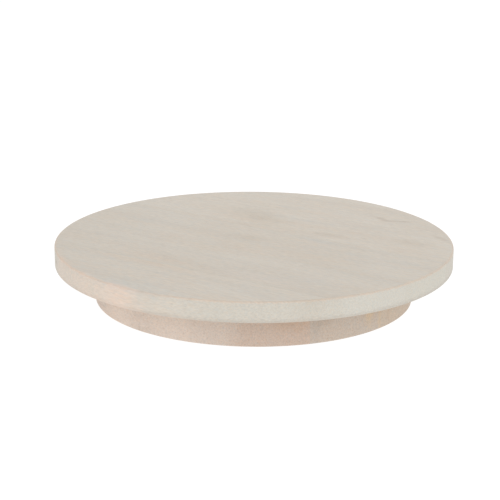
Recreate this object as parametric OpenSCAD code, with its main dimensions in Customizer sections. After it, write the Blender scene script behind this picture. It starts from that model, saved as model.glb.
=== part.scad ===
/* [Boards] */
// Diameter of the turning head that the work stands on
head_d = 250; // [200:1:320]
// Thickness of the head board
head_t = 12.7; // [11:0.1:25]
// Diameter of the base board under the head
base_d = 200; // [165:1:260]
// Thickness of the base board
base_t = 19; // [16:0.5:30]
// Width of the inner staves in both boards; the outer staves take the rest
stave_w = 50; // [38:1:60]
// Grain direction of the head, in degrees anticlockwise from +X
head_grain = -34; // [-90:1:90]
// Grain direction of the base, in degrees anticlockwise from +X
base_grain = -71; // [-90:1:90]
// Rounding of the sanded edges of both boards
edge_r = 1; // [0.5:0.25:2.5]

/* [Bearing] */
// Side of each square bearing plate
plate_w = 101.6; // [84:0.1:125]
// Sheet thickness of the plates and of the outer race
plate_t = 1.2; // [0.8:0.1:1.6]
// Distance from a plate's edge to its screw holes, which is also its corner radius
hole_inset = 6.35; // [5.5:0.05:8]
// Diameter of the screw holes in the plates
plate_hole_d = 4.5; // [4:0.1:5.5]
// Distance from a plate's edge to the circle of ball centres
race_inset = 11.8; // [9:0.1:13]
// Diameter of the balls
ball_d = 5.5; // [4:0.1:6.5]
// Free space between neighbouring balls
ball_gap = 1.3; // [0.4:0.1:3]
// Running clearance between a ball and its races
ball_clear = 0.05; // [0.02:0.01:0.1]
// How far each race curls past the middle of the balls, in degrees
race_lip = 30; // [15:1:32]

/* [Recess and access hole] */
// Depth of the round recess in the base that holds the lower plate
recess_depth = 4; // [2.5:0.1:5]
// Clearance between the lower plate's corners and the recess wall
recess_clear = 2.8; // [0.5:0.1:4]
// Diameter of the hole that a screwdriver reaches the head's screws through
access_d = 14; // [10:0.5:15]

/* [Screws] */
// Outer diameter of the screw threads
screw_d = 3.5; // [3:0.1:3.9]
// Core diameter of the screw threads
screw_core_d = 2.4; // [2:0.1:2.8]
// Length of one turn of thread
screw_pitch = 1.6; // [1.2:0.1:2]
// Diameter of the pan heads
screw_head_d = 7; // [6:0.1:8]
// Height of the pan heads
screw_head_h = 2; // [1.6:0.1:2.4]
// Length under the head of the screws in the head board
head_screw_l = 10; // [8:0.5:11]
// Length under the head of the screws in the base board
base_screw_l = 12; // [9:0.5:13]
// Clearance round a thread in its hole in the wood
thread_clear = 0.1; // [0.05:0.05:0.3]
// Free depth past a screw's point in its hole in the wood
tip_clear = 0.5; // [0.3:0.1:0.8]

/* [Pads] */
// Diameter of the rubber pads under the base
pad_d = 18; // [12:1:24]
// Thickness of the rubber pads
pad_t = 1.5; // [1:0.1:4]
// Distance from the base's edge to the middle of each pad
pad_inset = 18; // [14:1:24]
// Rounding of the pads' edges
pad_edge_r = 0.4; // [0.2:0.1:0.5]

/* [Hidden] */

$fn = 96;

head_staves = 5;
base_staves = 4;
pads = 4;
corners = 4;

// The lower plate lies square to the base's staves. At rest the upper plate is turned by an
// eighth of a turn, which puts one of its screws over the access hole beside the lower plate.
lower_plate_angle = base_grain;
upper_plate_angle = base_grain + 45;
access_angle = lower_plate_angle + 90;

hole_ring_r = (plate_w / 2 - hole_inset) * sqrt(2);
plate_corner_reach = hole_ring_r + hole_inset;
recess_r = plate_corner_reach + recess_clear;

ball_ring_r = plate_w / 2 - race_inset;
ball_count = floor(2 * PI * ball_ring_r / (ball_d + ball_gap));
race_inner_r = ball_d / 2 + ball_clear;
race_outer_r = race_inner_r + plate_t;
bearing_h = 2 * race_outer_r;

// Heights, from the floor up
base_z = pad_t;
recess_z = base_z + base_t - recess_depth;
ball_z = recess_z + race_outer_r;
head_z = recess_z + bearing_h;

pad_ring_r = base_d / 2 - pad_inset;
pilot_d = screw_d + 2 * thread_clear;
cross_w = 1;            // width of the arms of the cross recess in a screw head
cross_l = 4.2;          // length of those arms
cross_depth = 1.2;      // depth of the cross recess
thread_crest = 0.2;     // flat width at the top of a thread ridge
edge_facets = 6;        // flats that make up a board's or a pad's rounded edge
corner_facets = 8;      // flats that make up each rounded corner of a plate
race_facets = 12;       // flats that make up the curl of a race
curl_lap = 0.3;         // how far the lower plate's flat runs in under its curl
cut = 0.5;              // how far a cutting solid runs past the face it opens

// Points on an arc of radius r round centre, from one angle to another
function arc(centre, r, from, to, steps) =
    [for (k = [0 : steps]) let (a = from + (to - from) * k / steps) centre + r * [cos(a), sin(a)]];

// A disc on z = 0 with both of its edges rounded
module rounded_disc(d, t, r) {
    rotate_extrude()
        polygon(concat(
            [[0, 0]],
            arc([d / 2 - r, r], r, -90, 0, edge_facets),
            arc([d / 2 - r, t - r], r, 0, 90, edge_facets),
            [[0, t]]
        ));
}

// The strip of a round board between two of its seams. Stave 1 is at the low side of the board
// across its grain, and the first and last staves run out to the board's edge.
module stave(index, count, d, t, grain) {
    low = index == 1 ? -d : (index - 1 - count / 2) * stave_w;
    high = index == count ? d : (index - count / 2) * stave_w;
    rotate(grain)
        intersection() {
            rounded_disc(d, t, edge_r);
            translate([-d, low, -t]) cube([2 * d, high - low, 3 * t]);
        }
}

// Puts its children at the four screw holes of a plate turned by angle
module at_corners(angle) {
    for (k = [0 : corners - 1])
        rotate(angle + 45 + k * 360 / corners) translate([hole_ring_r, 0, 0]) children();
}

// One stave of the turning head, with its share of the screw holes
module head_stave(index) {
    color([0.81, 0.775, 0.735])
    difference() {
        translate([0, 0, head_z]) stave(index, head_staves, head_d, head_t, head_grain);
        translate([0, 0, head_z]) at_corners(upper_plate_angle)
            translate([0, 0, -cut]) cylinder(d = pilot_d, h = head_screw_l - plate_t + tip_clear + cut);
    }
}

// One stave of the base, with its share of the recess, the screw holes and the access hole
module base_stave(index) {
    pilot_depth = base_screw_l - plate_t + tip_clear;
    color([0.79, 0.715, 0.645])
    difference() {
        translate([0, 0, base_z]) stave(index, base_staves, base_d, base_t, base_grain);
        translate([0, 0, recess_z]) cylinder(r = recess_r, h = recess_depth + cut);
        translate([0, 0, recess_z]) at_corners(lower_plate_angle)
            translate([0, 0, -pilot_depth]) cylinder(d = pilot_d, h = pilot_depth + cut);
        rotate(access_angle) translate([hole_ring_r, 0, base_z - cut])
            cylinder(d = access_d, h = base_t + 2 * cut);
    }
}

// A square plate with rounded corners, four screw holes and a round opening in its middle
module square_plate(opening_r) {
    outline = [for (k = [0 : corners - 1])
        let (side = k * 360 / corners)
            each arc(hole_ring_r * [cos(side + 45), sin(side + 45)], hole_inset, side, side + 90, corner_facets)];
    difference() {
        linear_extrude(plate_t) polygon(outline);
        at_corners(0) translate([0, 0, -cut]) cylinder(d = plate_hole_d, h = plate_t + 2 * cut);
        translate([0, 0, -cut]) cylinder(r = opening_r, h = plate_t + 2 * cut);
    }
}

// A ring of sheet curled round the balls, between two angles about their centres
module race_curl(from, to) {
    rotate_extrude()
        polygon(concat(
            arc([ball_ring_r, 0], race_outer_r, from, to, race_facets),
            arc([ball_ring_r, 0], race_inner_r, to, from, race_facets)
        ));
}

// The lower plate, whose inner edge curls up round the inner side of the balls
module bearing_lower_plate() {
    color([0.72, 0.73, 0.74])
    union() {
        translate([0, 0, recess_z]) rotate(lower_plate_angle) square_plate(ball_ring_r - curl_lap);
        translate([0, 0, ball_z]) race_curl(-90, -180 - race_lip);
    }
}

// The upper plate, which carries the head and covers the balls
module bearing_upper_plate() {
    color([0.72, 0.73, 0.74])
    translate([0, 0, head_z - plate_t]) rotate(upper_plate_angle)
        square_plate(ball_ring_r - race_outer_r);
}

// The ring welded under the upper plate, which holds the outer side of the balls
module bearing_outer_race() {
    color([0.66, 0.67, 0.68])
    translate([0, 0, ball_z])
        intersection() {
            race_curl(90, -race_lip);
            translate([0, 0, -race_outer_r]) cylinder(r = plate_w, h = 2 * race_outer_r - plate_t);
        }
}

// The ring of loose balls
module bearing_balls() {
    color([0.8, 0.81, 0.82])
    for (k = [0 : ball_count - 1])
        rotate(k * 360 / ball_count) translate([ball_ring_r, 0, ball_z]) sphere(d = ball_d);
}

// A pan-head wood screw with its head above z = 0 and its thread below
module pan_screw(length) {
    dome_r = screw_head_d * 0.62;
    ridges = floor((length - screw_d) / screw_pitch);
    core_r = screw_core_d / 2;
    ridge = (screw_pitch - thread_crest) / 2;
    difference() {
        rotate_extrude()
            intersection() {
                square([screw_head_d / 2, screw_head_h]);
                translate([0, screw_head_h - dome_r]) circle(dome_r);
            }
        for (turn = [0, 90])
            rotate(turn) translate([-cross_l / 2, -cross_w / 2, screw_head_h - cross_depth])
                cube([cross_l, cross_w, cross_depth + cut]);
    }
    rotate_extrude()
        polygon(concat(
            [[0, 0], [core_r, 0]],
            [for (k = [0 : ridges - 1], p = [
                    [core_r, ridge], [screw_d / 2, 2 * ridge - thread_crest],
                    [screw_d / 2, 2 * ridge], [core_r, screw_pitch]])
                [p[0], -k * screw_pitch - p[1]]],
            [[core_r, -length + screw_d], [0, -length]]
        ));
}

// The four screws that hold the lower plate to the base
module base_screws() {
    color([0.62, 0.63, 0.65])
    translate([0, 0, recess_z + plate_t]) at_corners(lower_plate_angle) pan_screw(base_screw_l);
}

// The four screws that hold the upper plate to the head
module head_screws() {
    color([0.62, 0.63, 0.65])
    translate([0, 0, head_z - plate_t]) at_corners(upper_plate_angle)
        rotate([180, 0, 0]) pan_screw(head_screw_l);
}

// One of the pads that the base stands on
module rubber_pad(index) {
    color([0.16, 0.16, 0.17])
    rotate(lower_plate_angle + 45 + (index - 1) * 360 / pads) translate([pad_ring_r, 0, 0])
        rounded_disc(pad_d, pad_t, pad_edge_r);
}

head_stave(1);  // head_stave_1
head_stave(2);  // head_stave_2
head_stave(3);  // head_stave_3
head_stave(4);  // head_stave_4
head_stave(5);  // head_stave_5
base_stave(1);  // base_stave_1
base_stave(2);  // base_stave_2
base_stave(3);  // base_stave_3
base_stave(4);  // base_stave_4
bearing_lower_plate();
bearing_upper_plate();
bearing_outer_race();
bearing_balls();
base_screws();
head_screws();
rubber_pad(1);  // rubber_pad_1
rubber_pad(2);  // rubber_pad_2
rubber_pad(3);  // rubber_pad_3
rubber_pad(4);  // rubber_pad_4
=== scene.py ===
"""Looks of a limed-wood pottery turntable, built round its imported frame.

Two round edge-glued boards are held together by a flat ball bearing. Each stave, plate, race,
ball, screw and pad is modelled again here in finer detail than the frame holds, in the same
place, and gets a finish made of shader nodes. Sizes are in metres.
"""

import logging
import math
from contextlib import contextmanager
from dataclasses import dataclass
from enum import Enum
from typing import Callable, Iterator, Optional, Sequence, Union

import bpy
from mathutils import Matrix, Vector


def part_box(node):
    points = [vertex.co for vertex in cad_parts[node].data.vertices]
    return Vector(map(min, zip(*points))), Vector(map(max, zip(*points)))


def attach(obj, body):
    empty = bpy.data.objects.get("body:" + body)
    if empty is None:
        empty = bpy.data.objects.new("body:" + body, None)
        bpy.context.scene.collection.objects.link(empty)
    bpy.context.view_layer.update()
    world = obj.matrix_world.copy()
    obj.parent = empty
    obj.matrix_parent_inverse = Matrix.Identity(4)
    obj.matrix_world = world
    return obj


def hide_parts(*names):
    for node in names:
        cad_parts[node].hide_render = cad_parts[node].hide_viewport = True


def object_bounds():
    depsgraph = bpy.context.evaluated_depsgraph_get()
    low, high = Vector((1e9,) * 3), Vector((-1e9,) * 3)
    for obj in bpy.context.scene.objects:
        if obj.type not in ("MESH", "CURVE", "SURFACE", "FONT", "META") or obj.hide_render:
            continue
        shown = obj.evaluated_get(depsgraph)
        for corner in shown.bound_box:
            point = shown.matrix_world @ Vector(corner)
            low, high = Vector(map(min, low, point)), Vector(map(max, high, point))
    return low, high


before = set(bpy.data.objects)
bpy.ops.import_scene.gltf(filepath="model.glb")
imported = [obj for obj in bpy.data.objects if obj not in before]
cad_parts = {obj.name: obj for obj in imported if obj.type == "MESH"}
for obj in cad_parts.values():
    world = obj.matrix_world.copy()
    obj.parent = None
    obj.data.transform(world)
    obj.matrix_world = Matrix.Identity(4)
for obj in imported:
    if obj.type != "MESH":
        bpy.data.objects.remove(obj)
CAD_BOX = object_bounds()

log = logging.getLogger("turntable")

MM = 0.001
NEAR = 0.02 * MM
MERGE = 0.001 * MM
ORIGIN = Vector((0, 0, 0))
WHITE = (1.0, 1.0, 1.0, 1.0)

Socket = bpy.types.NodeSocket
Value = Union[Socket, float, Sequence[float]]
Color = tuple[float, float, float, float]
Triple = tuple[float, float, float]


class Body(Enum):
    """The moving bodies of the frame."""

    BASE = "base"
    HEAD = "head"
    BALLS = "balls"


class Slot(Enum):
    """The material slots of the part's record."""

    HEAD_WOOD = "limed_wood_head"
    BASE_WOOD = "limed_wood_base"
    PLATE = "zinc_plated_steel"
    BALL = "polished_steel"
    SCREW = "screw_steel"
    PAD = "black_rubber"


# ------------------------------------------------------------------ modelling helpers


def deselect_all() -> None:
    """Deselects every object, since an operator acts on all that is selected."""
    bpy.ops.object.select_all(action="DESELECT")


def activate(piece: bpy.types.Object) -> None:
    """Makes one object the only selected one, and the active one.

    Args:
        piece: The object to work on.
    """
    deselect_all()
    piece.select_set(True)
    bpy.context.view_layer.objects.active = piece


@contextmanager
def editing(
    piece: bpy.types.Object, mode: str = "EDGE", everything: bool = False
) -> Iterator[None]:
    """Holds a piece in edit mode.

    Args:
        piece: The object to edit.
        mode: VERT, EDGE or FACE selection.
        everything: Selects all of it.
    """
    activate(piece)
    bpy.ops.object.mode_set(mode="EDIT")
    bpy.ops.mesh.select_mode(type=mode)
    if everything:
        bpy.ops.mesh.select_all(action="SELECT")
    yield
    bpy.ops.object.mode_set(mode="OBJECT")


def pick_edges(piece: bpy.types.Object, test: Callable[[Vector], bool]) -> None:
    """Selects the edges whose two ends both pass a test, and nothing else.

    Args:
        piece: The object, in object mode.
        test: Says whether a point belongs to the selection.
    """
    mesh = piece.data
    passes = [test(vertex.co) for vertex in mesh.vertices]
    for vertex in mesh.vertices:
        vertex.select = passes[vertex.index]
    for edge in mesh.edges:
        edge.select = all(passes[index] for index in edge.vertices)
    for face in mesh.polygons:
        face.select = False


def pick_faces(piece: bpy.types.Object, test: Callable[[Vector], bool]) -> None:
    """Selects the faces whose centre passes a test, and nothing else.

    Args:
        piece: The object, in object mode.
        test: Says whether a face with this centre belongs to the selection.
    """
    mesh = piece.data
    for vertex in mesh.vertices:
        vertex.select = False
    for edge in mesh.edges:
        edge.select = False
    for face in mesh.polygons:
        face.select = test(face.center)


def add_modifier(piece: bpy.types.Object, kind: str, **settings: object) -> None:
    """Adds a modifier with settings and applies it at once.

    Args:
        piece: The object to change.
        kind: The modifier's type, such as BEVEL.
        settings: The modifier's own properties.
    """
    activate(piece)
    modifier = piece.modifiers.new(kind.lower(), kind)
    for name, value in settings.items():
        setattr(modifier, name, value)
    bpy.ops.object.modifier_apply(modifier=modifier.name)


def cut_away(
    piece: bpy.types.Object, cutter: bpy.types.Object, keep_cutter: bool = False
) -> None:
    """Takes one closed solid away from another.

    Args:
        piece: The object to cut.
        cutter: The closed solid that is taken away.
        keep_cutter: Leaves the cutter for another cut.
    """
    add_modifier(piece, "BOOLEAN", operation="DIFFERENCE", solver="EXACT", object=cutter)
    if not keep_cutter:
        bpy.data.objects.remove(cutter)


def rod(
    radius: float, low: float, high: float, at: Vector = ORIGIN, sides: int = 48
) -> bpy.types.Object:
    """A plain upright cylinder, used as a cutter or as the start of a piece.

    Args:
        radius: Its radius.
        low: Height of its bottom.
        high: Height of its top.
        at: The place of its axis.
        sides: How many sides it has.

    Returns:
        The new object.
    """
    deselect_all()
    bpy.ops.mesh.primitive_cylinder_add(
        vertices=sides, radius=radius, depth=high - low, location=(at.x, at.y, (low + high) / 2)
    )
    return settle(bpy.context.object)


def settle(piece: bpy.types.Object) -> bpy.types.Object:
    """Moves a piece's place, turn and scale into its mesh, which leaves it at the origin.

    Args:
        piece: The object.

    Returns:
        The same object.
    """
    activate(piece)
    bpy.ops.object.transform_apply(location=True, rotation=True, scale=True)
    return piece


def ease(piece: bpy.types.Object, width: float, segments: int, degrees: float) -> None:
    """Rounds a piece's sharp edges.

    Args:
        piece: The object.
        width: How wide the rounding is.
        segments: How many facets it has.
        degrees: Edges flatter than this are left.
    """
    add_modifier(piece, "BEVEL", width=width, segments=segments, limit_method="ANGLE",
                 angle_limit=math.radians(degrees))


def joined(pieces: Sequence[bpy.types.Object]) -> bpy.types.Object:
    """Joins several objects into one mesh.

    Args:
        pieces: The objects, the first of which stays.

    Returns:
        The first object, which now holds them all.
    """
    deselect_all()
    for piece in pieces:
        piece.select_set(True)
    bpy.context.view_layer.objects.active = pieces[0]
    bpy.ops.object.join()
    return pieces[0]


def copy_turned(piece: bpy.types.Object, angle: float) -> bpy.types.Object:
    """Copies a piece, with a mesh of its own, turned about the vertical axis.

    Args:
        piece: The object to copy.
        angle: The turn in radians.

    Returns:
        The copy.
    """
    copy = piece.copy()
    copy.data = piece.data.copy()
    bpy.context.scene.collection.objects.link(copy)
    copy.rotation_euler.z = angle
    return settle(copy)


def polar(radius: float, degrees: float, height: float = 0.0) -> Vector:
    """A point at a radius and an angle round the vertical axis."""
    angle = math.radians(degrees)
    return Vector((radius * math.cos(angle), radius * math.sin(angle), height))


def span(node: str, direction: Vector) -> tuple[float, float]:
    """How far a frame node reaches along a direction.

    Args:
        node: The node's name.
        direction: A unit vector.

    Returns:
        The lowest and highest value.
    """
    along = [vertex.co.dot(direction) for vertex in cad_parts[node].data.vertices]
    return min(along), max(along)


def face_outwards(piece: bpy.types.Object) -> None:
    """Merges doubled points and turns every face outwards.

    Args:
        piece: The object to clean.
    """
    with editing(piece, "FACE", everything=True):
        bpy.ops.mesh.remove_doubles(threshold=MERGE)
        bpy.ops.mesh.normals_make_consistent(inside=False)


def place(
    piece: bpy.types.Object,
    name: str,
    body: Body,
    slot: Slot,
    material: bpy.types.Material,
    nodes: Sequence[str],
    smooth_degrees: float = 35.0,
) -> bpy.types.Object:
    """Gives a finished mesh its name, finish and place in the frame.

    Args:
        piece: The finished object.
        name: The piece's name.
        body: The body that it rides on.
        slot: Not used.
        material: Its material.
        nodes: The frame nodes that it stands for.
        smooth_degrees: Edges flatter than this are shaded smooth.

    Returns:
        The piece.
    """
    activate(piece)
    bpy.ops.object.shade_smooth_by_angle(angle=math.radians(smooth_degrees))
    piece.name = name
    piece.data.name = name
    piece.data.materials.clear()
    piece.data.materials.append(material)
    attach(piece, body.value)
    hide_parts(*nodes)
    log.info("%s: %d faces, on %s", name, len(piece.data.polygons), body.value)
    return piece


# ------------------------------------------------------------------ shader helpers


def tint(red: int, green: int, blue: int) -> Color:
    """A colour as a shader wants it.

    Args:
        red: Its red display value, from 0 to 255.
        green: Its green value.
        blue: Its blue value.

    Returns:
        The linear colour.
    """

    def linear(level: float) -> float:
        """The linear light of one display level."""
        return level / 12.92 if level <= 0.04045 else ((level + 0.055) / 1.055) ** 2.4

    return (linear(red / 255), linear(green / 255), linear(blue / 255), 1.0)


class Sheet:
    """A node tree, with short ways to add nodes and to join them."""

    def __init__(self, tree: bpy.types.NodeTree) -> None:
        """Works on the tree of a material or of a group."""
        self.tree = tree

    def feed(self, socket: Socket, value: Value) -> None:
        """Joins a socket to another, or sets it to a plain value.

        Args:
            socket: The input.
            value: The output that feeds it, or the value.
        """
        if isinstance(value, bpy.types.NodeSocket):
            self.tree.links.new(value, socket)
        else:
            socket.default_value = value

    def add(
        self, kind: str, inputs: dict[Union[str, int], Value], **settings: object
    ) -> bpy.types.Node:
        """Adds a node.

        Args:
            kind: The node's type.
            inputs: What feeds each input, by its name or number.
            settings: The node's own properties.

        Returns:
            The node.
        """
        node = self.tree.nodes.new(kind)
        for name, value in settings.items():
            setattr(node, name, value)
        for key, value in inputs.items():
            self.feed(node.inputs[key], value)
        return node

    def math(self, operation: str, first: Value, second: Value = 0.0) -> Socket:
        """One step of arithmetic on numbers."""
        return self.add("ShaderNodeMath", {0: first, 1: second}, operation=operation).outputs[0]

    def vector(self, operation: str, first: Value, second: Value = (0, 0, 0)) -> Socket:
        """One step of arithmetic on vectors.

        Args:
            operation: The step's name.
            first: What it works on.
            second: What it works with, where it needs one.

        Returns:
            The vector, or the number of a dot product or a length.
        """
        node = self.add("ShaderNodeVectorMath", {0: first, 1: second}, operation=operation)
        number = operation in ("DOT_PRODUCT", "LENGTH")
        return node.outputs["Value" if number else "Vector"]

    def combined(self, first: Value, second: Value, third: Value) -> Socket:
        """Makes a vector of three numbers."""
        return self.add("ShaderNodeCombineXYZ", {0: first, 1: second, 2: third}).outputs[0]

    def turned(self, vector: Value, angle: Value) -> Socket:
        """Turns a vector about the vertical axis."""
        inputs = {"Vector": vector, "Angle": angle}
        return self.add("ShaderNodeVectorRotate", inputs, rotation_type="Z_AXIS").outputs[0]

    def weighted(self, start: Value, parts: Sequence[tuple[Value, float]]) -> Socket:
        """Adds masks to a start value.

        Args:
            start: The start value.
            parts: Each mask with its weight.

        Returns:
            The sum.
        """
        total = start
        for mask, weight in parts:
            total = self.math("ADD", total, self.math("MULTIPLY", mask, weight))
        return total

    def ramp(
        self, value: Value, low: float, high: float, start: float = 0.0, end: float = 1.0
    ) -> Socket:
        """A soft step.

        Args:
            value: What it reads.
            low: The value that it starts at.
            high: The value that it is over at.
            start: What it gives up to low.
            end: What it gives from high on.

        Returns:
            The step.
        """
        node = self.add(
            "ShaderNodeMapRange",
            {"Value": value, "From Min": low, "From Max": high, "To Min": start, "To Max": end},
            interpolation_type="SMOOTHSTEP",
        )
        return node.outputs[0]

    def noise(
        self, at: Value, stretch: Triple, detail: float = 2.0, bend: float = 0.0
    ) -> Socket:
        """Noise whose cells are stretch wide along each axis, in the units of the place.

        Args:
            at: The place.
            stretch: The size of a cell along X, Y and Z.
            detail: How many finer layers it has.
            bend: How much it distorts itself.

        Returns:
            The noise, from 0 to 1 about 0.5.
        """
        inputs = {
            "Vector": self.vector("DIVIDE", at, stretch),
            "Scale": 1.0, "Detail": detail, "Roughness": 0.55, "Distortion": bend,
        }
        return self.add("ShaderNodeTexNoise", inputs).outputs[0]

    def blend(self, amount: Value, first: Value, second: Value, how: str = "MIX") -> Socket:
        """Mixes two colours.

        Args:
            amount: How much of the second shows.
            first: The colour below.
            second: The colour above.
            how: The way of mixing.

        Returns:
            The mixed colour.
        """
        inputs = {0: amount, 6: first, 7: second}
        node = self.add("ShaderNodeMix", inputs, data_type="RGBA", blend_type=how)
        return node.outputs[2]

    def use(self, group: bpy.types.NodeTree, inputs: dict[str, Value]) -> bpy.types.Node:
        """Places a node group, with what feeds each of its inputs by name."""
        return self.add("ShaderNodeGroup", inputs, node_tree=group)


FLOAT, COLOR, VECTOR = "NodeSocketFloat", "NodeSocketColor", "NodeSocketVector"


def shared_group(
    name: str,
    inputs: dict[str, str],
    outputs: dict[str, str],
    fill: Callable[[Sheet, bpy.types.Node], dict[str, Value]],
) -> bpy.types.NodeTree:
    """A shader node group that is built once and used by every finish that asks for it.

    Args:
        name: The group's name.
        inputs: The type of each input.
        outputs: The type of each output.
        fill: Adds the nodes and returns what feeds each output.

    Returns:
        The group.
    """
    if name in bpy.data.node_groups:
        return bpy.data.node_groups[name]
    tree = bpy.data.node_groups.new(name, "ShaderNodeTree")
    for label, kind in inputs.items():
        tree.interface.new_socket(name=label, in_out="INPUT", socket_type=kind)
    for label, kind in outputs.items():
        tree.interface.new_socket(name=label, in_out="OUTPUT", socket_type=kind)
    sheet = Sheet(tree)
    results = fill(sheet, tree.nodes.new("NodeGroupInput"))
    leave = tree.nodes.new("NodeGroupOutput")
    for label, value in results.items():
        sheet.feed(leave.inputs[label], value)
    return tree


@dataclass(frozen=True)
class Layer:
    """One layer of the wood's figure: noise that is stretched along the grain.

    Attributes:
        cell: The size of its cells along the grain, across it and up, in millimetres.
        low: The noise that its mask starts at, or None for plain noise about nought.
        high: The noise that its mask is full at.
        detail: How many finer layers it has.
        bend: How much it distorts itself.
        swaying: Whether it follows the sway of the growth rings.
        shift: Moves it away from the other layers.
    """

    cell: Triple
    low: Optional[float] = None
    high: float = 1.0
    detail: float = 2.0
    bend: float = 0.0
    swaying: bool = False
    shift: Optional[Triple] = None

    def mask(self, sheet: Sheet, plank: Value, bent: Value) -> Socket:
        """Adds the layer's nodes.

        Args:
            sheet: The sheet that they go on.
            plank: The place on the plank.
            bent: The place with the sway of the growth rings.

        Returns:
            The mask.
        """
        place = bent if self.swaying else plank
        if self.shift:
            place = sheet.vector("ADD", place, self.shift)
        noise = sheet.noise(place, self.cell, self.detail, self.bend)
        if self.low is None:
            return sheet.math("SUBTRACT", noise, 0.5)
        return sheet.ramp(noise, self.low, self.high)


SEED_STEP = (613.0, 171.0, 97.0)
SWAY_CELL, SWAY_WIDTH, RING_WIDTH = (160.0, 30.0, 30.0), 26.0, 4.2
SANDING_CELL = (14.0, 0.16, 0.16)
FIGURE = {
    "Warm": Layer((200.0, 10.5, 10.5), 0.46, 0.68, 3.0, 0.15, True),
    "Cool": Layer((160.0, 12.5, 12.5), 0.46, 0.68, 3.0, 0.15, True, (57.0, 311.0, 19.0)),
    "Lines": Layer((38.0, 1.5, 1.5), 0.40, 0.72, 3.0, swaying=True),
    "Pores": Layer((5.5, 0.42, 0.42), 0.60, 0.74, 1.0),
    "Specks": Layer((9.0, 1.1, 1.1), 0.56, 0.72),
    "Cloud": Layer((70.0, 34.0, 34.0), 0.34, 0.66),
    "Grit": Layer((4.5, 0.8, 0.8)),
    "Hue": Layer((4.5, 0.9, 0.9), detail=1.0, shift=(31.0, 47.0, 11.0)),
}


def plank_space() -> bpy.types.NodeTree:
    """Places in millimetres along a plank: X along the grain, Y across it, Z up.

    Returns:
        The node group.
    """

    def fill(sheet: Sheet, given: bpy.types.Node) -> dict[str, Value]:
        """Adds the group's nodes.

        Args:
            sheet: The group's sheet.
            given: The node that gives its inputs.

        Returns:
            What feeds each output.
        """
        back = sheet.math("MULTIPLY", given.outputs["Grain"], -1.0)
        turned = sheet.turned(given.outputs["Place"], back)
        in_mm = sheet.vector("MULTIPLY", turned, (1 / MM, 1 / MM, 1 / MM))
        seed = given.outputs["Seed"]
        away = sheet.vector("MULTIPLY", sheet.combined(seed, seed, seed), SEED_STEP)
        return {"Plank": sheet.vector("ADD", in_mm, away)}

    inputs = {"Place": VECTOR, "Grain": FLOAT, "Seed": FLOAT}
    return shared_group("Plank space", inputs, {"Plank": VECTOR}, fill)


def plank_figure() -> bpy.types.NodeTree:
    """The figure of close-grained wood: growth rings, colour streaks, fine lines and pores.

    Returns:
        The node group.
    """

    def fill(sheet: Sheet, given: bpy.types.Node) -> dict[str, Value]:
        """Adds the group's nodes.

        Args:
            sheet: The group's sheet.
            given: The node that gives its inputs.

        Returns:
            What feeds each output.
        """
        plank = given.outputs["Plank"]
        sway = sheet.math("SUBTRACT", sheet.noise(plank, SWAY_CELL), 0.5)
        split = sheet.add("ShaderNodeSeparateXYZ", {0: plank}).outputs
        across = sheet.math("ADD", split["Y"], sheet.math("MULTIPLY", sway, SWAY_WIDTH))
        bent = sheet.combined(split["X"], across, split["Z"])
        flat = sheet.combined(0.0, across, split["Z"])
        from_pith = sheet.vector("LENGTH", sheet.vector("ADD", flat, given.outputs["Pith"]))
        turns = sheet.math("MULTIPLY", from_pith, 2 * math.pi / RING_WIDTH)
        rings = sheet.weighted(0.5, [(sheet.math("SINE", turns), 0.5)])
        masks = {name: layer.mask(sheet, plank, bent) for name, layer in FIGURE.items()}
        return {"Rings": rings, **masks}

    outputs = dict.fromkeys(("Rings", *FIGURE), FLOAT)
    return shared_group("Plank figure", {"Plank": VECTOR, "Pith": VECTOR}, outputs, fill)


def arris_wear() -> bpy.types.NodeTree:
    """Masks of a round board's arrises: the upper is rubbed bare, the lower gets painted shade.

    Returns:
        The node group.
    """

    def fill(sheet: Sheet, given: bpy.types.Node) -> dict[str, Value]:
        """Adds the group's nodes.

        Args:
            sheet: The group's sheet.
            given: The node that gives its inputs.

        Returns:
            What feeds each output.
        """
        place = given.outputs["Place"]
        level = sheet.vector("MULTIPLY", place, (1.0, 1.0, 0.0))
        inwards = sheet.math("SUBTRACT", given.outputs["Radius"], sheet.vector("LENGTH", level))
        height = sheet.add("ShaderNodeSeparateXYZ", {0: place}).outputs["Z"]

        def from_corner(edge: str) -> Socket:
            """The distance from one of the board's two arrises.

            Args:
                edge: The input that holds its height.

            Returns:
                The distance.
            """
            rise = sheet.math("SUBTRACT", height, given.outputs[edge])
            squares = [sheet.math("POWER", side, 2.0) for side in (inwards, rise)]
            return sheet.math("SQRT", sheet.math("ADD", *squares))

        broken = sheet.noise(place, (3.0 * MM, 3.0 * MM, 1.0 * MM), detail=3.0)
        uneven = sheet.ramp(broken, 0.25, 0.75, 0.55, 1.35)
        rubbed = sheet.math("MULTIPLY", given.outputs["Width"], uneven)
        # The lower band, wider than the rubbed one, is painted shade where the rounding turns down.
        dusty = sheet.math("MULTIPLY", rubbed, 2.4)
        return {
            "Wear": sheet.ramp(sheet.math("DIVIDE", from_corner("High"), rubbed), 1.0, 0.5),
            "Dust": sheet.ramp(sheet.math("DIVIDE", from_corner("Low"), dusty), 1.0, 0.3),
        }

    inputs = {"Place": VECTOR, "Radius": FLOAT, "Low": FLOAT, "High": FLOAT, "Width": FLOAT}
    return shared_group("Arris wear", inputs, {"Wear": FLOAT, "Dust": FLOAT}, fill)


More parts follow.
